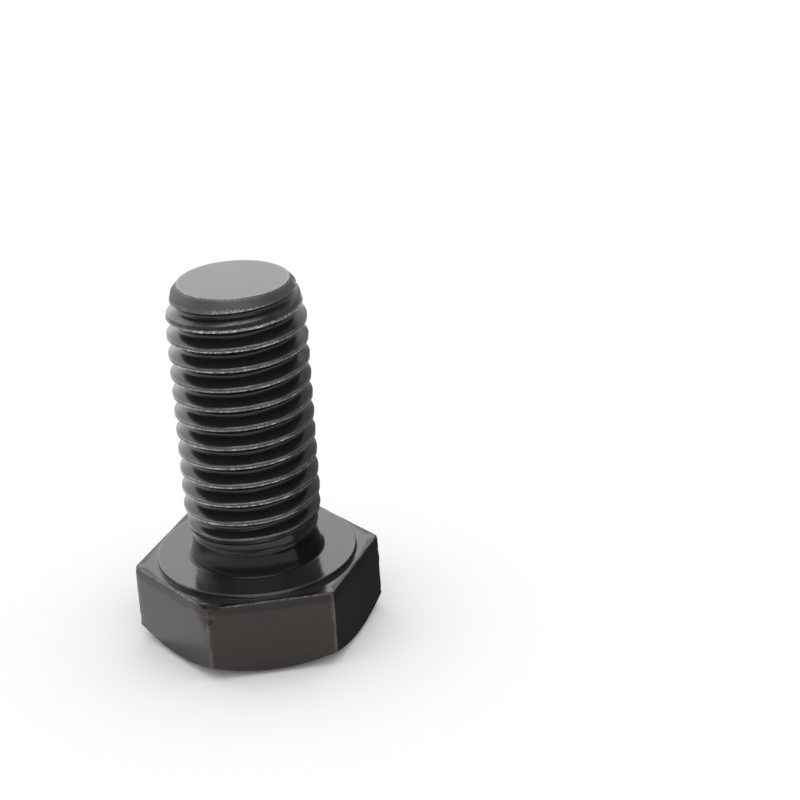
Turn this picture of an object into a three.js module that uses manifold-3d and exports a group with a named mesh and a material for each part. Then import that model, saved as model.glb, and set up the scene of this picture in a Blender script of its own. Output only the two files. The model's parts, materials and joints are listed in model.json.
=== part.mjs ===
// M12 x 25 hex bolt, cold forged and thread rolled from one length of wire, threaded up to the head.
// Millimetres, +Z up. The bolt stands on its head: the origin is the centre of the head's outer face,
// and +Z runs along the shank to the threaded end. Two opposite corners of the hexagon lie on the X axis.
import * as THREE from "three";
import { mergeVertices } from "three/addons/utils/BufferGeometryUtils.js";
import Module from "manifold-3d";

const wasm = await Module();
wasm.setup();

// Head
const acrossFlats = 18.7; // 19 mm spanner size
const headHeight = 7.4; // outer face to bearing face
const crownInset = 0.7; // from the flats in to the flat circle on the outer face
const crownChamferAngle = THREE.MathUtils.degToRad(30); // rise of the chamfer from the outer face
const washerFaceInset = 0.65; // from the flats in to the washer face
const washerFaceHeight = 0.43;

// Head marks: a plain dash and a plain dot, sunk in the outer face
const markDepth = 0.2;
const markInset = 2.65; // from the crown's edge in to the middle of a mark
const dashLength = 3;
const dashWidth = 0.8;
const dotDiameter = 1.2;

// Shank
const shankLength = 25; // bearing face to threaded end
const threadDiameter = 11.88; // over the crests
const threadPitch = 1.75;
const flankAngle = THREE.MathUtils.degToRad(30); // between a flank and the plane across the axis
const flatShare = 0.17; // width of the crest flat and of the root flat, as a share of the pitch
const neckHeight = 2; // plain wire under the head
const footFlare = 0.5; // growth of the neck's radius where it meets the head
const crestRunOut = 2.4; // above the neck, height over which the crests grow to full size
const rootRunOut = 2.6; // above the neck, height over which the grooves sink to full depth

// Threaded end
const endFaceInset = 0.24; // from the bottom of the grooves in to the edge of the end face
const endChamferAngle = THREE.MathUtils.degToRad(41); // between the chamfer and the axis
const endCrestDrop = 0.84; // how much lower a crest would stand at the end face
const endTaperHeight = 3; // end face to the first full crest

// Facets
const roundSides = 40;
const dotSides = 16;
const dashCurveSteps = 6;
const flareSteps = 4;

// Worked out from the sizes above
const cornerRadius = acrossFlats / Math.sqrt(3);
const crownRadius = acrossFlats / 2 - crownInset;
const washerFaceRadius = acrossFlats / 2 - washerFaceInset;
const markRadius = crownRadius - markInset;
const shoulderHeight = headHeight - washerFaceHeight; // flat of the hexagon behind the washer face
const neckTop = headHeight + neckHeight;
const endHeight = headHeight + shankLength;
const threadRadius = threadDiameter / 2;
const flatWidth = flatShare * threadPitch;
const flankRun = threadPitch / 2 - flatWidth; // along the axis, from crest to root
const threadDepth = flankRun / Math.tan(flankAngle);
const rootRadius = threadRadius - threadDepth;
const neckRadius = threadRadius - threadDepth / 2; // rolling lifts the crests as far as it sinks the grooves
const endFaceRadius = rootRadius - endFaceInset;
const leastDepth = 0.1; // of a groove, inside the neck and past the end
const overlap = 0.5; // how far pieces of the body sink into each other before they are joined

// A closed mesh as a solid that can be joined and cut
function toSolid(geometry) {
  const bare = geometry.index ? geometry.clone() : mergeVertices(geometry);
  bare.deleteAttribute("normal");
  bare.deleteAttribute("uv");
  const merged = mergeVertices(bare);
  const vertProperties = new Float32Array(merged.attributes.position.array);
  const triVerts = new Uint32Array(merged.index.array);
  return new wasm.Manifold(new wasm.Mesh({ numProp: 3, vertProperties, triVerts }));
}

function toGeometry(solid) {
  const mesh = solid.getMesh();
  const geometry = new THREE.BufferGeometry();
  geometry.setAttribute("position", new THREE.BufferAttribute(mesh.vertProperties, 3));
  geometry.setIndex(new THREE.BufferAttribute(mesh.triVerts, 1));
  geometry.computeVertexNormals();
  return geometry;
}

// A solid of revolution about Z, from [radius, height] pairs that run upwards
function turned(profile) {
  const points = profile.map(([radius, height]) => new THREE.Vector2(radius, height));
  return toSolid(new THREE.LatheGeometry(points, roundSides).rotateX(Math.PI / 2));
}

// Radius of the crests: they grow out of the neck, and taper off again towards the end
function crestRadiusAt(height) {
  const fromNeck = neckRadius + (threadRadius - neckRadius) * (height - neckTop) / crestRunOut;
  const fromEnd = threadRadius - endCrestDrop * (1 - (endHeight - height) / endTaperHeight);
  return Math.min(threadRadius, fromNeck, fromEnd);
}

// Radius of the grooves: they sink from the neck to full depth, and stay clear of a low crest
function rootRadiusAt(height) {
  const fromNeck = neckRadius - (neckRadius - rootRadius) * (height - neckTop) / rootRunOut;
  return Math.min(Math.max(rootRadius, fromNeck), crestRadiusAt(height) - leastDepth);
}

// The screw surface: columns round the axis, each a stack of rows that climbs one pitch in a turn.
// A row is one edge of a crest or of a groove. A crest passes over the +X axis at the threaded end.
function screwRod() {
  const perTurn = 4;
  const turnsBelowEnd = Math.ceil((endHeight - headHeight) / threadPitch) + 1;
  const start = endHeight - turnsBelowEnd * threadPitch;
  const rows = perTurn * (turnsBelowEnd + 2);
  const positions = [];
  const indices = [];

  const addVertex = (column, row) => {
    const turn = Math.floor(row / perTurn) + column / roundSides;
    const crestHeight = start + turn * threadPitch;
    const rootHeight = crestHeight + threadPitch / 2;
    const crest = crestRadiusAt(crestHeight);
    const root = rootRadiusAt(rootHeight);
    const crestHalf = flatWidth / 2 + (threadRadius - crest) * Math.tan(flankAngle);
    const rootHalf = flatWidth / 2 + (root - rootRadius) * Math.tan(flankAngle);
    const edges = [
      [crest, crestHeight - crestHalf],
      [crest, crestHeight + crestHalf],
      [root, rootHeight - rootHalf],
      [root, rootHeight + rootHalf],
    ];
    const [radius, height] = edges[row % perTurn];
    const angle = (2 * Math.PI * column) / roundSides;
    positions.push(radius * Math.cos(angle), radius * Math.sin(angle), height);
  };
  for (let column = 0; column < roundSides; column++) {
    for (let row = 0; row < rows; row++) {
      addVertex(column, row);
    }
  }
  for (let row = rows - perTurn; row < rows; row++) {
    addVertex(roundSides, row);
  }

  // the last column is the first one a turn higher, apart from its top turn
  const vertexAt = (column, row) => {
    if (column < roundSides) return column * rows + row;
    return row + perTurn < rows ? row + perTurn : roundSides * rows + row + perTurn - rows;
  };
  for (let column = 0; column < roundSides; column++) {
    for (let row = 0; row < rows - 1; row++) {
      const a = vertexAt(column, row);
      const b = vertexAt(column + 1, row);
      const c = vertexAt(column + 1, row + 1);
      const d = vertexAt(column, row + 1);
      indices.push(a, b, c, a, c, d);
    }
  }

  // each end is a fan about the axis, with the step of one pitch where the turn closes
  const lowRim = [];
  const highRim = [];
  for (let column = 0; column < roundSides; column++) {
    lowRim.push(vertexAt(column, 0));
    highRim.push(vertexAt(column, rows - 1));
  }
  for (let step = 0; step < perTurn; step++) {
    lowRim.push(vertexAt(0, perTurn - step));
    highRim.push(vertexAt(roundSides, rows - 1 - step));
  }
  const lowCentre = positions.length / 3;
  const highCentre = lowCentre + 1;
  positions.push(0, 0, start + threadPitch / 2);
  positions.push(0, 0, start + (rows / perTurn + 0.5) * threadPitch);
  lowRim.forEach((vertex, i) => indices.push(lowCentre, lowRim[(i + 1) % lowRim.length], vertex));
  highRim.forEach((vertex, i) => indices.push(highCentre, vertex, highRim[(i + 1) % highRim.length]));

  const geometry = new THREE.BufferGeometry();
  geometry.setAttribute("position", new THREE.Float32BufferAttribute(positions, 3));
  geometry.setIndex(indices);
  return toSolid(geometry);
}

// What is left of the screw once it is cut to length and its end is chamfered
function shankOutline() {
  const clear = threadRadius + overlap;
  const chamferFall = (clear - endFaceRadius) / Math.tan(endChamferAngle);
  return turned([
    [0, headHeight],
    [clear, headHeight],
    [clear, endHeight - chamferFall],
    [endFaceRadius, endHeight],
    [0, endHeight],
  ]);
}

// Washer face, flared foot and plain neck
function stem() {
  const flare = [];
  for (let step = 0; step <= flareSteps; step++) {
    const share = step / flareSteps;
    flare.push([neckRadius + footFlare * (1 - share) ** 2, headHeight + share * neckHeight]);
  }
  return turned([
    [0, shoulderHeight - overlap],
    [washerFaceRadius, shoulderHeight - overlap],
    [washerFaceRadius, headHeight],
    ...flare,
    [0, neckTop],
  ]);
}

function hexagonShape() {
  const shape = new THREE.Shape();
  for (let corner = 0; corner < 6; corner++) {
    const angle = (corner * Math.PI) / 3;
    const x = cornerRadius * Math.cos(angle);
    const y = cornerRadius * Math.sin(angle);
    if (corner === 0) shape.moveTo(x, y);
    else shape.lineTo(x, y);
  }
  return shape;
}

function hexagonHead() {
  const block = new THREE.ExtrudeGeometry(hexagonShape(), { depth: shoulderHeight, bevelEnabled: false });
  const clear = cornerRadius + overlap;
  const crown = turned([
    [0, 0],
    [crownRadius, 0],
    [clear, (clear - crownRadius) * Math.tan(crownChamferAngle)],
    [clear, headHeight],
    [0, headHeight],
  ]);
  return toSolid(block).intersect(crown);
}

// The dash and the dot, as cutters that stand up through the outer face
function marks() {
  const height = markDepth + overlap;
  const half = (dashLength - dashWidth) / 2;
  const outline = new THREE.Shape();
  outline.absarc(half, 0, dashWidth / 2, -Math.PI / 2, Math.PI / 2, false);
  outline.absarc(-half, 0, dashWidth / 2, Math.PI / 2, (3 * Math.PI) / 2, false);
  const extrusion = { depth: height, bevelEnabled: false, curveSegments: dashCurveSteps };
  const dash = new THREE.ExtrudeGeometry(outline, extrusion);
  dash.translate(0, markRadius, -overlap);
  const dot = new THREE.CylinderGeometry(dotDiameter / 2, dotDiameter / 2, height, dotSides);
  dot.rotateX(Math.PI / 2).translate(0, -markRadius, height / 2 - overlap);
  return toSolid(dash).add(toSolid(dot));
}

function boltSolid() {
  const thread = screwRod().intersect(shankOutline());
  return hexagonHead().add(stem()).add(thread).subtract(marks());
}

const blackOxide = new THREE.MeshStandardMaterial({ color: 0x35322f, roughness: 0.35, metalness: 0.6 });

const bolt = new THREE.Group();
const hexBolt = new THREE.Mesh(toGeometry(boltSolid()), blackOxide);
hexBolt.name = "hex_bolt";
bolt.add(hexBolt);

export default bolt;
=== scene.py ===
import json
import math

import bmesh
import bpy
import numpy as np
from mathutils import Matrix, Vector, noise


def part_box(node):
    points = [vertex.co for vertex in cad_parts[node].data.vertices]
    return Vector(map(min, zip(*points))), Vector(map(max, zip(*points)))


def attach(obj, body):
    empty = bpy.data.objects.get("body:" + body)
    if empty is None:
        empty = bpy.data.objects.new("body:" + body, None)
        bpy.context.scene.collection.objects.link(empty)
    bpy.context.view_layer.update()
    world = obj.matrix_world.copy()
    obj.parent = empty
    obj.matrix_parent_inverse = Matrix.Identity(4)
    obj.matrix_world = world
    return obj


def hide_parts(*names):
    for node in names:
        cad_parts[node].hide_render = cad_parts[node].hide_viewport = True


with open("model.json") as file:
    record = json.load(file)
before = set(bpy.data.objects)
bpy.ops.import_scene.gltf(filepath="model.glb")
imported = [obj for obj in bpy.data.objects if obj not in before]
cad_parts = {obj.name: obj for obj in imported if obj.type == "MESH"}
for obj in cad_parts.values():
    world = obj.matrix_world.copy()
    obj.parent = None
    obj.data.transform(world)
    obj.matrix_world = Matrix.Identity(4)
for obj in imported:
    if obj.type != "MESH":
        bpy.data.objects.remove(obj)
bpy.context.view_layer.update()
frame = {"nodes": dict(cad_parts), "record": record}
print("frame loaded:", sorted(frame["nodes"]))

mm = 0.001  # sizes below are in millimetres unless marked, meshes in metres
low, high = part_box("hex_bolt")
mounts = {mount["name"]: mount["pos_m"] for mount in frame["record"]["mounts"]}
bearingHeight = mounts["bearing_face"][2] / mm
endHeight = high.z / mm
acrossFlats = (high.y - low.y) / mm


# quadratic blends of min and max, so that an edge is rounded over the width given
def softMax(a, b, width):
    h = np.clip(0.5 + 0.5 * (a - b) / width, 0, 1)
    return b + (a - b) * h + width * h * (1 - h)


def softMin(a, b, width):
    return -softMax(-a, -b, width)


def smoothStep(start, end, value):
    t = np.clip((value - start) / (end - start), 0, 1)
    return t * t * (3 - 2 * t)


# noise from -1 to 1 at each point, with bumps about size millimetres across
def wobble(points, size, seed):
    shift = Vector((seed * 13.7, seed * 5.1, seed * 9.3))
    return np.array([noise.noise(Vector(p) / size + shift) for p in points])


def meshObject(name, points, faces):
    mesh = bpy.data.meshes.new(name)
    mesh.from_pydata((np.asarray(points) * mm).tolist(), [], faces)
    mesh.validate()
    thing = bpy.data.objects.new(name, mesh)
    bpy.context.collection.objects.link(thing)
    return thing


# quads between neighbouring rows of a grid of vertex numbers [column, row]
def gridFaces(grid):
    corners = (grid[:-1, :-1], grid[1:, :-1], grid[1:, 1:], grid[:-1, 1:])
    return np.stack([corner.ravel() for corner in corners], axis=-1).tolist()


# closed solid from rings (radius and height at each angle) that run from the low centre to the high centre
def ringSolid(name, angles, rings):
    radius = np.array([np.broadcast_to(ring[0], angles.shape) for ring in rings]).T
    height = np.array([np.broadcast_to(ring[1], angles.shape) for ring in rings]).T
    points = np.stack([radius * np.cos(angles)[:, None], radius * np.sin(angles)[:, None], height], axis=-1)
    count = len(rings)
    grid = np.arange(len(angles) * count).reshape(len(angles), count)
    faces = gridFaces(np.vstack([grid, grid[:1]]))
    lowCentre = grid.size
    highCentre = lowCentre + 1
    for i in range(len(angles)):
        j = (i + 1) % len(angles)
        faces.append([lowCentre, int(grid[j, 0]), int(grid[i, 0])])
        faces.append([highCentre, int(grid[i, -1]), int(grid[j, -1])])
    centres = [(0, 0, height[0, 0]), (0, 0, height[0, -1])]
    return meshObject(name, np.vstack([points.reshape(-1, 3), centres]), faces)


# points of a rounded edge: from start, past the corner, to end
def roundedEdge(start, corner, end, steps):
    edge = []
    for t in np.linspace(0, 1, steps + 1):
        weights = ((1 - t) ** 2, 2 * t * (1 - t), t ** 2)
        edge.append(tuple(sum(w * p[i] for w, p in zip(weights, (start, corner, end))) for i in (0, 1)))
    return edge


# joins, cuts or intersects two solids and keeps the result in the first
def combine(base, tool, operation):
    change = base.modifiers.new("combine", "BOOLEAN")
    change.object = tool
    change.operation = operation
    change.solver = "MANIFOLD"
    graph = bpy.context.evaluated_depsgraph_get()
    result = bpy.data.meshes.new_from_object(base.evaluated_get(graph))
    base.modifiers.clear()
    base.data = result
    bpy.data.objects.remove(tool)


shank = {
    "threadDiameter": 11.88,  # over the crests
    "pitch": 1.75,
    "flankAngle": math.radians(30),  # between a flank and the plane across the axis
    "crestFlat": 0.2975,
    "grooveRadius": 4.94,  # bottom of the rolled groove
    "neckHeight": 2.0,  # plain wire under the head
    "crestRunOut": 2.4,
    "rootRunOut": 2.6,
    "endFaceRadius": 4.7,
    "endFaceRound": 0.045,
    "endWaviness": (0.035, 0.012),  # of the end face's rim, in long and in short waves
    "endChamferAngle": math.radians(41),
    "endCrestDrop": 0.84,
    "endTaperHeight": 3.0,
    "crestDip": 0.02,  # shallow fold that rolling leaves along the middle of a crest
    "crestBurr": 0.026,  # roughness of the crests
    "burrSizes": (0.7, 0.3),
    "edgeRows": (-0.045, -0.008, 0.022),  # rows beside a crest's edge, which keep the flanks flat
    "flankRow": 0.075,  # first row down the flank, from the crest's edge
    "footRow": 0.07,  # last row of the flank, from the groove's rounding
    "grooveBlend": 0.03,  # rounding between flank and groove, and then between flank and crest
    "crestBlend": 0.012,
    "columns": 256,
    "halfRows": 9,  # from a crest's middle to a groove's middle
    "turnsBelowEnd": 14,
}
shank["radius"] = shank["threadDiameter"] / 2
shank["depth"] = shank["radius"] - shank["grooveRadius"]
shank["neckRadius"] = shank["radius"] - shank["depth"] / 2
shank["neckTop"] = bearingHeight + shank["neckHeight"]
slope = 1 / math.tan(shank["flankAngle"])  # fall of the radius along a flank


# radius of the crests at a height: they grow out of the neck and taper off towards the end
def crestRadius(z):
    s = shank
    fromNeck = s["neckRadius"] + (s["radius"] - s["neckRadius"]) * (z - s["neckTop"]) / s["crestRunOut"]
    fromEnd = s["radius"] - s["endCrestDrop"] * (1 - (endHeight - z) / s["endTaperHeight"])
    return np.minimum(np.maximum(fromNeck, s["neckRadius"]), np.minimum(s["radius"], fromEnd))


# radius of the groove bottoms at a height
def grooveRadius(z):
    s = shank
    fromNeck = s["neckRadius"] - (s["neckRadius"] - s["grooveRadius"]) * (z - s["neckTop"]) / s["rootRunOut"]
    deepest = np.maximum(s["grooveRadius"], np.minimum(fromNeck, s["neckRadius"]))
    return np.minimum(deepest, crestRadius(z))


# the full thread form: straight flanks, and a groove rounded by the dies' crests
def threadForm(offset):
    s = shank
    half = s["pitch"] / 2
    sharp = s["radius"] - (half - s["crestFlat"] / 2) * slope
    rootRound = s["grooveRadius"] - sharp
    flank = s["radius"] - (offset - s["crestFlat"] / 2) * slope
    beside = np.clip(half - offset, 0, rootRound * math.cos(s["flankAngle"]))
    arc = s["grooveRadius"] + rootRound - np.sqrt(rootRound ** 2 - beside ** 2)
    return np.where(half - offset < rootRound * math.cos(s["flankAngle"]), arc, flank)


# columns round the axis, each a stack of rows that climbs one pitch in a turn
def threadedRod():
    s = shank
    half = s["pitch"] / 2
    perTurn = 2 * s["halfRows"]
    rows = perTurn * (s["turnsBelowEnd"] + 1)
    column = np.arange(s["columns"] + 1)[:, None]
    row = np.arange(rows)[None, :]
    turn = row // perTurn + column / s["columns"] - s["turnsBelowEnd"]
    crestHeight = endHeight + turn * s["pitch"]
    crest = crestRadius(crestHeight)
    groove = grooveRadius(crestHeight)

    # rows stand at the crest's edge, down the flank and round the groove, on either side of the crest
    edge = np.minimum(s["crestFlat"] / 2 + (s["radius"] - crest) / slope, half * 0.6)
    foot = np.clip(s["crestFlat"] / 2 + (s["radius"] - groove) / slope - 0.1, edge + 0.1, half - 0.2)
    step = np.abs(row % perTurn - s["halfRows"])
    flank = foot - edge
    stops = [np.zeros_like(edge)] + [edge + place for place in s["edgeRows"]]
    stops.append(edge + np.minimum(s["flankRow"], 0.4 * flank))
    stops += [foot - np.minimum(s["footRow"], 0.3 * flank), foot]
    stops += [foot + (half - foot) * share for share in (0.33, 0.67, 1.0)]
    offset = np.select([step == i for i in range(s["halfRows"] + 1)], stops)
    height = crestHeight + np.where(row % perTurn < s["halfRows"], -offset, offset)

    crest = crestRadius(height)
    groove = grooveRadius(height)
    angle = 2 * math.pi * column / s["columns"] + 0 * height
    flat = np.stack([np.cos(angle) * 5.9, np.sin(angle) * 5.9, height], axis=-1).reshape(-1, 3)
    broad, fine = s["burrSizes"]
    burr = 0.6 * wobble(flat, broad, 1) + 0.5 * wobble(flat, fine, 2)
    burr = np.clip(burr.reshape(height.shape), -1, 0.4) * s["crestBurr"]
    inThread = smoothStep(s["neckTop"] + 0.6, s["neckTop"] + 2, height)
    dip = s["crestDip"] * smoothStep(0.13, 0.02, offset)
    top = crest - inThread * (dip + s["crestBurr"] * 0.4 - burr)
    form = softMax(threadForm(offset), groove, s["grooveBlend"])
    radius = softMin(top, form, s["crestBlend"])
    plain = smoothStep(s["neckTop"] + 0.05, s["neckTop"] + 0.5, height)
    radius = s["neckRadius"] + (radius - s["neckRadius"]) * plain

    # the last column is the first one a turn higher, apart from its top turn
    points = np.stack([radius * np.cos(angle), radius * np.sin(angle), height], axis=-1)
    grid = np.arange(s["columns"] * rows).reshape(s["columns"], rows)
    extra = np.arange(perTurn) + grid.size
    grid = np.vstack([grid, np.concatenate([grid[0, perTurn:], extra])])
    vertices = np.vstack([points[:-1].reshape(-1, 3), points[-1, -perTurn:]])
    faces = gridFaces(grid)
    lowRim = list(grid[:-1, 0]) + list(grid[0, perTurn:0:-1])
    highRim = list(grid[:-1, -1]) + list(grid[-1, :-perTurn - 1:-1])
    lowCentre = len(vertices)
    for i in range(len(lowRim)):
        j = (i + 1) % len(lowRim)
        faces.append([lowCentre, int(lowRim[j]), int(lowRim[i])])
        faces.append([lowCentre + 1, int(highRim[i]), int(highRim[j])])
    middles = [(0, 0, height[0, 0] + half), (0, 0, height[0, -1] + half)]
    return meshObject("threadedRod", np.vstack([vertices, middles]), faces)


# the cropped and chamfered end, as the solid that the rod is cut to
def endOutline():
    s = shank
    angles = np.linspace(0, 2 * math.pi, s["columns"], endpoint=False)
    reach = s["endFaceRadius"]
    rim = np.stack([np.cos(angles) * reach, np.sin(angles) * reach, 0 * angles], axis=-1)
    broad, fine = s["endWaviness"]
    endRadius = s["endFaceRadius"] + broad * wobble(rim, 2.4, 3) + fine * wobble(rim, 0.7, 4)
    fall = 1 / math.tan(s["endChamferAngle"])
    wide = s["radius"] + 0.6
    soften = s["endFaceRound"]
    rings = [
        (wide, bearingHeight - 0.3),
        (wide, endHeight - (wide - s["endFaceRadius"]) * fall),
        (s["endFaceRadius"] + 0.5, endHeight - 0.5 * fall),
        (endRadius + 0.2, endHeight - 0.2 * fall),
        *roundedEdge(
            (endRadius + soften, endHeight - soften * fall),
            (endRadius, endHeight),
            (endRadius - soften, endHeight),
            4,
        ),
        (endRadius - 0.2, endHeight),
        (endRadius - 1.2, endHeight),
    ]
    return ringSolid("endOutline", angles, rings)


head = {
    "crownInset": 0.7,  # from the flats in to the flat circle on the outer face
    "crownAngle": math.radians(30),
    "crownRound": 0.25,
    "cornerRound": 0.22,  # of the hexagon's six upright edges
    "edgeRound": 0.1,
    "rimRound": 0.07,  # of the trimmed edge under the head
    "trimHeight": 0.8,  # band that the trimming die has dragged, below the rim
    "trimInset": 0.07,
    "trimStep": 0.012,  # ridge along the band's lower edge
    "trimWaviness": (0.4, 0.22),  # of that edge, as shares of the band's height
    "denseHeight": 1.45,  # rows stand closer together from here up to the rim
    "cornerWear": 0.07,
    "washerFaceInset": 0.65,
    "washerFaceHeight": 0.43,
    "footRound": 0.25,  # where the neck meets the bearing face
    "footFlare": 0.46,
    "nickAngle": math.radians(240),  # knock on one corner
    "nickHeight": 5.85,
    "nickDepth": 0.2,
    "nickSize": 0.42,
    "bluntDepth": 0.3,  # the rim is blunted at the same corner
    "bluntDrop": 0.16,
    "bluntSize": 0.75,
}
shoulder = bearingHeight - head["washerFaceHeight"]


# how far each angle is from the nearest corner of the hexagon
def cornerDistance(angles):
    return np.abs((angles + math.pi / 6) % (math.pi / 3) - math.pi / 6)


# radius of the hexagon at each angle, with its corners rounded
def hexagonRadius(angles, cornerRound):
    apothem = acrossFlats / 2
    fromCorner = cornerDistance(angles)
    side = apothem / np.cos(math.pi / 6 - fromCorner)
    centre = (apothem - cornerRound) / math.cos(math.pi / 6)
    touch = math.atan2(cornerRound / 2, centre + cornerRound * math.cos(math.pi / 6))
    arc = centre * np.cos(fromCorner) + np.sqrt(
        np.maximum(cornerRound ** 2 - (centre * np.sin(fromCorner)) ** 2, 0)
    )
    return np.where(fromCorner < touch, arc, side)


# height of the wavy lower edge of the trimmed band
def trimEdge(angles):
    rim = np.stack([np.cos(angles) * 10, np.sin(angles) * 10, 0 * angles], axis=-1)
    broad, fine = head["trimWaviness"]
    return shoulder - head["trimHeight"] * (1 + broad * wobble(rim, 3.2, 5) + fine * wobble(rim, 1.1, 6))


def neckRings():
    h = head
    s = shank
    rings = []
    footTop = bearingHeight + h["footRound"]
    flareTop = s["neckTop"]
    for share in np.linspace(0, 1, 9):
        z = footTop + (flareTop - footTop) * share
        left = (flareTop - z) / s["neckHeight"]
        rings.append((s["neckRadius"] + h["footFlare"] * left ** 2 - 0.01 * (1 - left), z))
    footRadius = rings[0][0]
    centre = (footRadius + h["footRound"], footTop)
    foot = []
    for angle in np.linspace(math.pi / 2, 0, 7)[:-1]:
        across = h["footRound"] * math.cos(angle)
        foot.append((centre[0] - across, centre[1] - h["footRound"] * math.sin(angle)))
    rings.append((s["neckRadius"] - 0.06, flareTop + 0.06))
    rings.append((s["neckRadius"] - 1, flareTop + 0.06))
    return [(foot[0][0] + 0.15, bearingHeight)] + foot + rings


def hexHead():
    h = head
    near = [0.2, 0.4, 0.65, 1.0, 1.6]  # degrees from a corner
    away = np.arange(3, 30, 1.5)
    half = np.concatenate([near, away])
    sector = np.concatenate([[0], half, [30], 60 - half[::-1]])
    angles = np.radians(np.concatenate([sector + 60 * k for k in range(6)]))
    hexagon = hexagonRadius(angles, h["cornerRound"])
    crown = acrossFlats / 2 - h["crownInset"]
    rise = math.tan(h["crownAngle"])
    washer = acrossFlats / 2 - h["washerFaceInset"]

    def chamferHeight(radius):
        return rise * softMax(radius - crown, 0 * radius, h["crownRound"])

    rings = [(crown * 0.5, 0), (crown - 0.6, 0)]
    for step in np.linspace(-1, 1, 7):
        radius = crown + step * h["crownRound"] + 0 * angles
        rings.append((radius, chamferHeight(radius)))
    start = crown + h["crownRound"]
    for share in (0.4, 0.8):
        radius = start + (hexagon - 0.12 - start) * share
        rings.append((radius, chamferHeight(radius)))
    edge = h["edgeRound"]
    cornerHeight = rise * (hexagon - crown)
    inward = edge * math.cos(h["crownAngle"])
    rings += roundedEdge(
        (hexagon - inward, cornerHeight - inward * rise),
        (hexagon, cornerHeight),
        (hexagon, cornerHeight + edge),
        4,
    )

    # the sides, with the band that the trimming die dragged under the rim
    bandStart = shoulder - h["denseHeight"]
    lift = [0.04, 0.1, 0.2, 0.3, 0.4, 0.5, 0.6, 0.7, 0.8, 0.9, 1.0]
    heights = [cornerHeight + edge + (bandStart - cornerHeight - edge) * share for share in lift]
    heights += [bandStart + step + 0 * angles for step in np.arange(0.1, 1.36, 0.09)]
    lowest = trimEdge(angles)
    rimPoints = np.stack([np.cos(angles) * hexagon, np.sin(angles) * hexagon, 0 * angles], axis=-1)
    rough = 0.6 * wobble(rimPoints, 1.3, 7) + 0.6 * wobble(rimPoints, 0.45, 8)

    def sideRadius(z):
        points = np.stack([np.cos(angles) * hexagon, np.sin(angles) * hexagon, z], axis=-1)
        band = np.clip((z - lowest) / (shoulder - lowest), 0, 1)
        step = h["trimStep"] * smoothStep(lowest - 0.06, lowest + 0.06, z)
        fromNick = ((angles - h["nickAngle"]) * hexagon) ** 2 + (z - h["nickHeight"]) ** 2
        nick = h["nickDepth"] * np.exp(-fromNick / h["nickSize"] ** 2)
        fromCorner = cornerDistance(angles) * hexagon
        worn = h["cornerWear"] * np.exp(-(fromCorner / 0.3) ** 2) * (0.5 + wobble(points, 0.7, 9))
        fromBlunt = ((angles - h["nickAngle"]) * hexagon) ** 2 + (0.7 * (z - shoulder)) ** 2
        blunt = h["bluntDepth"] * np.exp(-fromBlunt / h["bluntSize"] ** 2) * (1 + 0.5 * rough)
        return hexagon - h["trimInset"] * band ** 1.5 - step - nick - blunt - np.maximum(worn, 0) - 0.004

    for z in heights:
        rings.append((sideRadius(z), z))
    rim = sideRadius(shoulder + 0 * angles)
    soften = h["rimRound"] * (1 + 0.4 * rough)
    fromBlunt = (angles - h["nickAngle"]) * hexagon
    top = shoulder - 0.03 * np.clip(rough, 0, 1) - h["bluntDrop"] * np.exp(-(fromBlunt / h["bluntSize"]) ** 2)
    inner = rim - soften
    rings += roundedEdge((rim, top - soften), (rim + 0.02 * rough, top), (inner, top), 4)
    for share in (0.12, 0.5, 0.9):
        rings.append((inner + (washer + 0.1 - inner) * share, shoulder))

    # washer face: a small step with a tight corner at its foot and a rounded rim
    wall = washer + 0.02
    rings += roundedEdge((wall + 0.06, shoulder), (wall, shoulder), (wall, shoulder + 0.06), 3)
    rings += roundedEdge(
        (washer, bearingHeight - 0.07),
        (washer, bearingHeight),
        (washer - 0.07, bearingHeight),
        4,
    )
    rings += [(washer - 0.2, bearingHeight), (washer - 1, bearingHeight), (7, bearingHeight)]
    rings += neckRings()
    return ringSolid("hexHead", angles, rings)


# a plain dash and a plain dot, stamped in the head's outer face
marks = {
    "depth": 0.2,
    "radius": 6.0,
    "dashLength": 3.0,
    "dashWidth": 0.8,
    "dotDiameter": 1.2,
    "draft": 0.06,  # how much narrower a stamped mark is at its bottom
}


def markCutter(name, halfLength, halfWidth, centre):
    steps = 16
    points = []
    levels = [(-0.3, 0.03), (0, 0.03), (0.03, 0), (marks["depth"], -marks["draft"])]
    for height, grow in levels:
        for side in (1, -1):
            for i in range(steps + 1):
                turn = math.pi * i / steps - math.pi / 2 * side
                reach = halfWidth + grow
                x = halfLength * side + reach * math.cos(turn)
                points.append((x, centre + reach * math.sin(turn), height))
    count = 2 * (steps + 1)
    faces = [list(range(count))[::-1], [count * (len(levels) - 1) + i for i in range(count)]]
    for level in range(len(levels) - 1):
        for i in range(count):
            j = (i + 1) % count
            a = level * count
            faces.append([a + i, a + j, a + count + j, a + count + i])
    return meshObject(name, points, faces)


boltObject = threadedRod()
print("threaded rod:", len(boltObject.data.polygons), "faces")
combine(boltObject, endOutline(), "INTERSECT")
combine(boltObject, hexHead(), "UNION")
dashHalf = (marks["dashLength"] - marks["dashWidth"]) / 2
combine(boltObject, markCutter("dash", dashHalf, marks["dashWidth"] / 2, marks["radius"]), "DIFFERENCE")
dotHalf = 0.0001  # the dot is a dash with hardly any length
combine(boltObject, markCutter("dot", dotHalf, marks["dotDiameter"] / 2, -marks["radius"]), "DIFFERENCE")
boltObject.name = "boltBody"
boltObject.data.name = "boltBody"
print("bolt joined:", len(boltObject.data.polygons), "faces")


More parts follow.
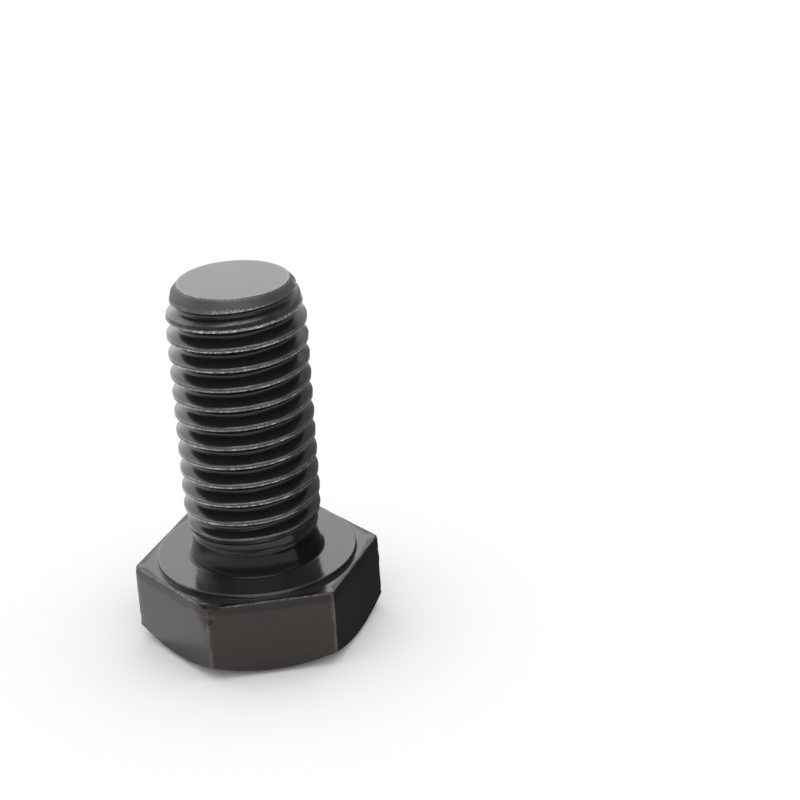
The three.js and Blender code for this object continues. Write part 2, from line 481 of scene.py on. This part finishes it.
# half widths of the rubbed lines
wearWidths = {
    "lowEdge": 0.055,  # a crest's lower edge
    "lowEdgeNarrowing": 0.033,  # the line is this much thinner where the crest is wide
    "highEdge": 0.04,
    "corner": 0.16,  # of the hexagon
    "rim": 0.1,
    "step": 0.08,  # round the washer face
    "end": 0.1,
}


# where the oxide is rubbed, burnished or dragged, and where the grooves and the neck get painted shade, kept
# as point values for the material
def paintWear(thing):
    w = wearWidths
    mesh = thing.data
    count = len(mesh.vertices)
    flat = np.empty(count * 3)
    mesh.vertices.foreach_get("co", flat)
    points = flat.reshape(-1, 3) / mm
    angle = np.arctan2(points[:, 1], points[:, 0]) % (2 * math.pi)
    radius = np.hypot(points[:, 0], points[:, 1])
    height = points[:, 2]
    hexagon = hexagonRadius(angle, head["cornerRound"])
    blotch = 0.5 + 0.5 * wobble(points, 1.1, 11)
    speck = 0.5 + 0.5 * wobble(points, 0.35, 12)

    # on the thread: distance along the axis from the middle of the crest, and from its two edges
    climb = (height - endHeight) / shank["pitch"] - angle / (2 * math.pi)
    offset = (climb - np.round(climb)) * shank["pitch"]
    crest = crestRadius(height)
    edge = np.minimum(shank["crestFlat"] / 2 + (shank["radius"] - crest) / slope, 0.3 * shank["pitch"])
    inThread = smoothStep(shank["neckTop"] + 0.9, shank["neckTop"] + 2.2, height)
    onCrest = inThread * smoothStep(0.16, 0.05, crest - radius)
    lowWidth = w["lowEdge"] - w["lowEdgeNarrowing"] * smoothStep(0.2, 0.4, edge)
    lowEdge = np.exp(-((offset + edge) / lowWidth) ** 2)
    highEdge = np.exp(-((offset - edge) / w["highEdge"]) ** 2)
    narrow = 1 - 0.8 * smoothStep(0.2, 0.4, edge)  # low crests near the end are wide, and less rubbed
    onFlat = 0.08 * blotch ** 2 + highEdge * (0.12 + 0.35 * blotch)
    crestWear = onCrest * (narrow * onFlat + lowEdge * (0.35 + 0.6 * speck))
    patches = 0.4 + 0.6 * smoothStep(0.35, 0.65, blotch)
    fleck = onCrest * np.maximum(lowEdge, 0.2 * narrow * highEdge) * patches
    # painted shade: 0 in the grooves and 1 near the crests, so the film lightens up the flanks and the
    # grooves stay dark
    upOnFlank = inThread * smoothStep(0.75, 0.1, crest - radius)
    outline = shank["endFaceRadius"] + (endHeight - height) * math.tan(shank["endChamferAngle"])
    chamfer = smoothStep(0.05, 0.015, np.abs(radius - outline)) * (height > endHeight - 1.2)
    chamfer = np.where(np.abs(height - endHeight) < 0.004, 0, chamfer)
    chamfer = np.maximum(chamfer, onCrest * smoothStep(1.6, 1.2, endHeight - height))

    onSide = (radius > hexagon - 0.3) & (height < shoulder - 0.1) & (height > 0.3)
    fromCorner = cornerDistance(angle) * hexagon
    cornerWear = np.where(onSide, np.exp(-(fromCorner / w["corner"]) ** 2), 0)
    cornerWear = cornerWear * (0.06 + 0.4 * blotch * speck)
    fromRim = np.hypot(radius - hexagon + head["trimInset"], height - shoulder)
    rimWear = np.exp(-(fromRim / w["rim"]) ** 2) * (0.12 + 0.8 * speck * blotch)
    washer = acrossFlats / 2 - head["washerFaceInset"]
    fromStep = np.hypot(radius - washer, height - bearingHeight)
    stepWear = 0.35 * np.exp(-(fromStep / w["step"]) ** 2)
    fromEnd = np.hypot(radius - shank["endFaceRadius"], height - endHeight)
    endWear = 0.5 * np.exp(-(fromEnd / w["end"]) ** 2) * (0.4 + 0.6 * blotch)
    wear = np.max([crestWear, cornerWear, rimWear, stepWear, endWear], axis=0)
    fleck = np.max([fleck, 0.5 * rimWear, 0.2 * cornerWear, 0.5 * endWear], axis=0)

    # painted shade: the neck, from the bearing face up to the start of the thread, gets a darker film
    neck = smoothStep(shank["neckTop"] + 0.9, shank["neckTop"] - 0.3, height)
    neck = neck * (height > bearingHeight + 0.01)
    flatFace = (np.abs(height - bearingHeight) < 0.004) & (radius > 6.0) & (radius < washer)
    shoulderFace = (np.abs(height - shoulder) < 0.004) & (radius < hexagon - 0.2)
    endFace = np.abs(height - endHeight) < 0.004
    burnish = np.where(flatFace | endFace | shoulderFace, 1.0, 0.0)
    lowest = trimEdge(angle)
    band = smoothStep(lowest - 0.14, lowest + 0.1, height) * (height < shoulder + 0.001)
    dragged = np.where(radius > hexagon - 0.35, band, 0)
    side = np.where((radius > hexagon - 0.35) & (height < shoulder), 1.0, 0.0)

    values = {
        "wear": wear,
        "fleck": fleck,
        "upOnFlank": upOnFlank,
        "burnish": burnish,
        "neck": neck,
        "cropped": chamfer,
        "dragged": dragged,
        "trimmedSide": side,
    }
    for name, value in values.items():
        layer = mesh.attributes.new(name, "FLOAT", "POINT")
        layer.data.foreach_set("value", np.clip(value, 0, 1).astype(np.float32))


surfaceFinish = {
    "mergeWithin": 0.0025,
    "shortestEdge": 0.001,
    "smoothLimit": math.radians(73),  # edges that turn less than this are shaded smooth
    "stampedLimit": math.radians(25),  # the same round the stamped marks
    "normalWeight": 60,
}


# merges the slivers that joining leaves, and lets the large faces set the normals
def finishSurface(thing):
    f = surfaceFinish
    work = bmesh.new()
    work.from_mesh(thing.data)
    bmesh.ops.remove_doubles(work, verts=work.verts, dist=f["mergeWithin"] * mm)
    bmesh.ops.dissolve_degenerate(work, edges=work.edges, dist=f["shortestEdge"] * mm)
    for face in work.faces:
        face.smooth = True
    for edge in work.edges:
        middle = (edge.verts[0].co + edge.verts[1].co) / (2 * mm)
        stamped = middle.z < marks["depth"] + 0.05 and middle.xy.length < marks["radius"] + 2
        edge.smooth = edge.calc_face_angle(0) < (f["stampedLimit"] if stamped else f["smoothLimit"])
    work.to_mesh(thing.data)
    work.free()
    weigh = thing.modifiers.new("weigh", "WEIGHTED_NORMAL")
    weigh.keep_sharp = True
    weigh.weight = f["normalWeight"]
    graph = bpy.context.evaluated_depsgraph_get()
    thing.data = bpy.data.meshes.new_from_object(thing.evaluated_get(graph))
    thing.modifiers.clear()
    thing.data.name = thing.name


finishSurface(boltObject)
paintWear(boltObject)


def hexToLinear(code):
    channels = [int(code[i:i + 2], 16) / 255 for i in (1, 3, 5)]
    return [c / 12.92 if c <= 0.04045 else ((c + 0.055) / 1.055) ** 2.4 for c in channels] + [1.0]


def addNode(tree, kind, settings, inputs):
    node = tree.nodes.new(kind)
    for name, value in settings.items():
        setattr(node, name, value)
    for name, value in inputs.items():
        if isinstance(value, bpy.types.NodeSocket):
            tree.links.new(value, node.inputs[name])
        else:
            node.inputs[name].default_value = value
    return node


def newMaterial(name):
    material = bpy.data.materials.new(name)
    material.use_nodes = True
    material.node_tree.nodes.clear()
    return material


oxide = {
    "film": "#383838",  # magnetite film under oil, neutral black; the grooves keep this dark tone as painted shade
    "filmNeck": "#262626",  # darker on the neck, from the bearing face up to where the thread begins: painted shade
    "filmThin": "#3d3c3b",  # the same film where it is thinner
    "filmCrest": "#434240",  # lighter up the flanks towards the crests, so the grooves stay darker: painted shade in the grooves
    "burnished": "#545454",  # turned and pressed flat faces
    "side": "#3d3a37",  # burnished by the trimming die, a little warmer
    "draggedBand": "#343230",
    "cropped": "#565554",  # chamfer cut by the cropping die
    "rubbed": "#989693",  # steel showing through along edges
    "bright": "#dddbd6",  # flecks of bare steel
    "metallic": 0.8,  # the film scatters a little light
    "filmRoughness": (0.14, 0.21),  # in the thicker and the thinner patches
    "burnishedRoughness": 0.13,
    "croppedRoughness": 0.55,
    "rubbedRoughness": 0.36,
    "sideRoughness": 0.28,
    "blotchSize": 2.6,  # patches of thicker and thinner film
    "grainSize": 0.12,  # pickled and tumbled surface, drawn coarser than its real 0.02
    "grainHeight": 0.0009,
    "fleckSize": 0.2,
}


# hot black oxide on cold forged, thread rolled carbon steel: a thin magnetite film with oil in it, which
# gives a near black body, mirror-like sheen at a low angle, and grey steel where edges are rubbed; painted
# shade darkens the grooves and the neck
def blackOxideSteel():
    o = oxide
    material = newMaterial("blackOxideSteel")
    tree = material.node_tree
    place = addNode(tree, "ShaderNodeTexCoord", {}, {})
    inMm = addNode(
        tree, "ShaderNodeMapping", {}, {"Vector": place.outputs["Object"], "Scale": (1000, 1000, 1000)},
    )
    blotch = addNode(
        tree, "ShaderNodeTexNoise", {},
        {"Vector": inMm.outputs[0], "Scale": 1 / o["blotchSize"], "Detail": 3.0, "Roughness": 0.55},
    )
    grain = addNode(
        tree, "ShaderNodeTexNoise", {},
        {"Vector": inMm.outputs[0], "Scale": 1 / o["grainSize"], "Detail": 2.0, "Roughness": 0.6},
    )
    names = ("wear", "burnish", "dragged", "cropped", "fleck", "trimmedSide", "upOnFlank", "neck")
    masks = {}
    for name in names:
        mask = addNode(tree, "ShaderNodeAttribute", {"attribute_name": name}, {})
        masks[name] = mask.outputs["Fac"]
    spots = addNode(
        tree, "ShaderNodeTexNoise", {},
        {"Vector": inMm.outputs[0], "Scale": 1 / o["fleckSize"], "Detail": 2.0, "Roughness": 0.6},
    )

    # colour: each layer of tone lies over the one before it
    patches = addNode(
        tree, "ShaderNodeMapRange", {},
        {"Value": blotch.outputs[0], "From Min": 0.35, "From Max": 0.7},
    )
    flecks = addNode(
        tree, "ShaderNodeMapRange", {},
        {"Value": grain.outputs[0], "From Min": 0.3, "From Max": 0.62, "To Min": 0.35, "To Max": 1.0},
    )
    rub = addNode(
        tree, "ShaderNodeMath", {"operation": "MULTIPLY"}, {0: masks["wear"], 1: flecks.outputs[0]},
    )
    spotted = addNode(
        tree, "ShaderNodeMapRange", {"interpolation_type": "SMOOTHSTEP"},
        {"Value": spots.outputs[0], "From Min": 0.46, "From Max": 0.56},
    )
    bare = addNode(
        tree, "ShaderNodeMath", {"operation": "MULTIPLY"}, {0: masks["fleck"], 1: spotted.outputs[0]},
    )
    tones = (
        (patches.outputs[0], "filmThin"),
        # painted shade: a darker neck, and grooves that stay dark while the flanks lighten towards the crests
        (masks["neck"], "filmNeck"),
        (masks["upOnFlank"], "filmCrest"),
        (masks["burnish"], "burnished"),
        (masks["trimmedSide"], "side"),
        (masks["dragged"], "draggedBand"),
        (masks["cropped"], "cropped"),
        (rub.outputs[0], "rubbed"),
        (bare.outputs[0], "bright"),
    )
    colour = hexToLinear(o["film"])
    for share, name in tones:
        layer = addNode(
            tree, "ShaderNodeMix", {"data_type": "RGBA"}, {0: share, 6: colour, 7: hexToLinear(o[name])},
        )
        colour = layer.outputs[2]

    # roughness: the film's own, smoother where burnished, duller where rubbed or dragged
    filmRoughness = addNode(
        tree, "ShaderNodeMapRange", {},
        {"Value": blotch.outputs[0], "From Min": 0.3, "From Max": 0.7,
         "To Min": o["filmRoughness"][0], "To Max": o["filmRoughness"][1]},
    )
    finishes = (
        (masks["burnish"], "burnishedRoughness"),
        (masks["trimmedSide"], "sideRoughness"),
        (masks["cropped"], "croppedRoughness"),
        (rub.outputs[0], "rubbedRoughness"),
    )
    roughness = filmRoughness.outputs[0]
    for share, name in finishes:
        layer = addNode(tree, "ShaderNodeMix", {}, {0: share, 2: roughness, 3: o[name]})
        roughness = layer.outputs[0]
    bump = addNode(
        tree, "ShaderNodeBump", {},
        {"Height": grain.outputs[0], "Distance": o["grainHeight"] * mm, "Strength": 1.0},
    )
    shader = addNode(
        tree, "ShaderNodeBsdfPrincipled", {},
        {"Base Color": colour, "Metallic": o["metallic"], "Roughness": roughness,
         "Normal": bump.outputs[0]},
    )
    addNode(tree, "ShaderNodeOutputMaterial", {}, {"Surface": shader.outputs[0]})
    return material


boltObject.data.materials.clear()
boltObject.data.materials.append(blackOxideSteel())
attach(boltObject, "root")
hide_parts("hex_bolt")
print("bolt painted")


floorSize = {"radius": 3000, "drop": 0.01, "sides": 96}


# matte white board, pulped and pressed: bright, with no reflection of its own
def whiteBoard():
    material = newMaterial("whiteBoard")
    tree = material.node_tree
    shader = addNode(
        tree, "ShaderNodeBsdfPrincipled", {},
        {"Base Color": hexToLinear("#f8f8f8"), "Roughness": 0.9, "Specular IOR Level": 0.0},
    )
    addNode(tree, "ShaderNodeOutputMaterial", {}, {"Surface": shader.outputs[0]})
    return material


def makeFloor():
    f = floorSize
    turns = [2 * math.pi * i / f["sides"] for i in range(f["sides"])]
    points = [(f["radius"] * math.cos(a), f["radius"] * math.sin(a), -f["drop"]) for a in turns]
    floor = meshObject("floor", points, [list(range(f["sides"]))])
    floor.data.materials.append(whiteBoard())


studio = {
    "heading": math.radians(8.8),  # the backdrop stands behind the bolt, a little to its right
    "backdrop": 1.92,  # brightness of the lit backdrop
    "rest": 0.24,  # brightness of the dark part of the room
    "softbox": 1.84,  # brightness of the softbox above and in front
    "softboxRise": math.radians(60),
    "softboxEdge": (0.766, 0.985),  # cosines of the angles from its middle where it starts and is full
    "topLeft": 0.73,  # sine of the backdrop's upper edge on the left
    "topRight": 0.6,
    "topSpan": 0.6,  # how far to either side the upper edge keeps falling
    "edge": 0.07,
    "sides": (-0.35, 0.25),  # where the backdrop starts and is full, from front to back
    "fadeFrom": -0.7,  # it gets dimmer to the right, down to this share at this place
    "fadeTo": 0.3,
    "fill": 1.1,  # even light that the floor and the film's scattering take
    "seen": 1.0,  # plain white behind the bolt
}


# plain soft studio: a wide lit backdrop behind and beside the bolt, a darker room above and in front
def studioWorld():
    s = studio
    world = bpy.data.worlds.new("studio")
    world.use_nodes = True
    world.cycles.sampling_method = "NONE"
    bpy.context.scene.world = world
    tree = world.node_tree
    tree.nodes.clear()
    place = addNode(tree, "ShaderNodeTexCoord", {}, {})
    parts = addNode(tree, "ShaderNodeSeparateXYZ", {}, {0: place.outputs["Generated"]})
    back = (math.sin(s["heading"]), math.cos(s["heading"]), 0)
    left = (-back[1], back[0], 0)
    towardsBack = addNode(
        tree, "ShaderNodeVectorMath", {"operation": "DOT_PRODUCT"}, {0: place.outputs["Generated"], 1: back},
    )
    towardsLeft = addNode(
        tree, "ShaderNodeVectorMath", {"operation": "DOT_PRODUCT"}, {0: place.outputs["Generated"], 1: left},
    )
    top = addNode(
        tree, "ShaderNodeMapRange", {},
        {"Value": towardsLeft.outputs["Value"], "From Min": -s["topSpan"], "From Max": s["topSpan"],
         "To Min": s["topRight"], "To Max": s["topLeft"]},
    )
    below = addNode(
        tree, "ShaderNodeMath", {"operation": "SUBTRACT"}, {0: top.outputs[0], 1: parts.outputs[2]},
    )
    height = addNode(
        tree, "ShaderNodeMapRange", {"interpolation_type": "SMOOTHSTEP"},
        {"Value": below.outputs[0], "From Min": -s["edge"], "From Max": s["edge"]},
    )
    behind = addNode(
        tree, "ShaderNodeMapRange", {"interpolation_type": "SMOOTHSTEP"},
        {"Value": towardsBack.outputs["Value"], "From Min": s["sides"][0], "From Max": s["sides"][1]},
    )
    fade = addNode(
        tree, "ShaderNodeMapRange", {},
        {"Value": towardsLeft.outputs["Value"], "From Min": s["fadeFrom"], "From Max": 0.0,
         "To Min": s["fadeTo"], "To Max": 1.0},
    )
    panel = addNode(
        tree, "ShaderNodeMath", {"operation": "MULTIPLY"}, {0: height.outputs[0], 1: behind.outputs[0]},
    )
    lit = addNode(
        tree, "ShaderNodeMath", {"operation": "MULTIPLY"}, {0: panel.outputs[0], 1: fade.outputs[0]},
    )
    wall = addNode(
        tree, "ShaderNodeMapRange", {},
        {"Value": lit.outputs[0], "To Min": s["rest"], "To Max": s["backdrop"]},
    )
    rise = s["softboxRise"]
    box = (-back[0] * math.cos(rise), -back[1] * math.cos(rise), math.sin(rise))
    towardsBox = addNode(
        tree, "ShaderNodeVectorMath", {"operation": "DOT_PRODUCT"}, {0: place.outputs["Generated"], 1: box},
    )
    softbox = addNode(
        tree, "ShaderNodeMapRange", {"interpolation_type": "SMOOTHSTEP"},
        {"Value": towardsBox.outputs["Value"], "From Min": s["softboxEdge"][0],
         "From Max": s["softboxEdge"][1], "To Max": s["softbox"]},
    )
    gloss = addNode(tree, "ShaderNodeMath", {"operation": "ADD"}, {0: wall.outputs[0], 1: softbox.outputs[0]})
    path = addNode(tree, "ShaderNodeLightPath", {}, {})
    even = addNode(
        tree, "ShaderNodeMix", {}, {0: path.outputs["Is Diffuse Ray"], 2: gloss.outputs[0], 3: s["fill"]},
    )
    strength = addNode(
        tree, "ShaderNodeMix", {}, {0: path.outputs["Is Camera Ray"], 2: even.outputs[0], 3: s["seen"]},
    )
    light = addNode(
        tree, "ShaderNodeBackground", {}, {"Color": hexToLinear("#ffffff"), "Strength": strength.outputs[0]},
    )
    addNode(tree, "ShaderNodeOutputWorld", {}, {"Surface": light.outputs[0]})


keyLight = {"place": (-0.16, 0.28, 0.62), "size": 0.7, "power": 0.2}  # metres and watts


# large soft lamp above and behind, which the oxide doesn't mirror
def makeLamp():
    lamp = bpy.data.lights.new("keyLight", "AREA")
    lamp.shape = "DISK"
    lamp.size = keyLight["size"]
    lamp.energy = keyLight["power"]
    light = bpy.data.objects.new("keyLight", lamp)
    light.location = keyLight["place"]
    light.rotation_euler = (-light.location).to_track_quat("-Z", "Y").to_euler()
    light.visible_glossy = False
    bpy.context.collection.objects.link(light)


# painted reflections: glowing cards that only the oxide mirrors; each is a strip through the places in rows
# (x and z), which runs from near to far (y) and glows with one brightness up to cardFoot and another from
# cardTop upwards
cardFoot = 6
cardTop = 20
cards = {
    "darkReflectionCard": {  # painted reflection: a dim glowing sheet on the right, standing where neighbouring bolts would darken the head's right side
        "rows": ((5.5, 0.05), (13.5, 0), (13.5, 34)),
        "near": -9,
        "far": 24,
        "turn": math.radians(-6),
        "brightness": (0.08, 0.5),
    },
    "brightReflectionCard": {  # painted reflection: a bright glowing sheet flat on the left, which brightens the head's left side in reflection only
        "rows": ((-55, 0.05), (-10.5, 0.05)),
        "near": -22,
        "far": 30,
        "turn": 0,
        "brightness": (1.4, 1.4),
    },
}


def makeCards():
    for name, c in cards.items():
        turn = Matrix.Rotation(c["turn"], 3, "Z")
        points = []
        for x, z in c["rows"]:
            points += [tuple(turn @ Vector((0, y, z)) + Vector((x, 0, 0))) for y in (c["near"], c["far"])]
        faces = [[2 * i, 2 * i + 1, 2 * i + 3, 2 * i + 2] for i in range(len(c["rows"]) - 1)]
        card = meshObject(name, points, faces)
        material = newMaterial(name)
        tree = material.node_tree
        place = addNode(tree, "ShaderNodeTexCoord", {}, {})
        parts = addNode(tree, "ShaderNodeSeparateXYZ", {}, {0: place.outputs["Object"]})
        lowest, highest = c["brightness"]
        glow = addNode(
            tree, "ShaderNodeMapRange", {},
            {"Value": parts.outputs[2], "From Min": cardFoot * mm, "From Max": cardTop * mm,
             "To Min": lowest, "To Max": highest},
        )
        light = addNode(tree, "ShaderNodeEmission", {}, {"Strength": glow.outputs[0]})
        addNode(tree, "ShaderNodeOutputMaterial", {}, {"Surface": light.outputs[0]})
        card.data.materials.append(material)
        card.visible_camera = False
        card.visible_diffuse = False
        card.visible_shadow = False


cameraSet = {
    "place": (-11.4, -160.36, 91.05),
    "heading": math.radians(-8.80),
    "tilt": math.radians(23.73),  # below the horizon
    "roll": math.radians(-3.26),
    "lens": 92.5,
    "clip": (0.005, 20),  # metres
}


def makeCamera():
    c = cameraSet
    camera = bpy.data.objects.new("camera", bpy.data.cameras.new("camera"))
    camera.data.lens = c["lens"]
    camera.data.clip_start, camera.data.clip_end = c["clip"]
    turn = Matrix.Rotation(c["heading"], 4, "Z") @ Matrix.Rotation(math.pi / 2 - c["tilt"], 4, "X")
    turn = turn @ Matrix.Rotation(c["roll"], 4, "Z")
    camera.matrix_world = Matrix.Translation(Vector(c["place"]) * mm) @ turn
    bpy.context.collection.objects.link(camera)
    bpy.context.scene.camera = camera


makeFloor()
studioWorld()
makeLamp()
makeCards()
makeCamera()
bpy.context.scene.view_settings.view_transform = "Standard"
print("stage set")
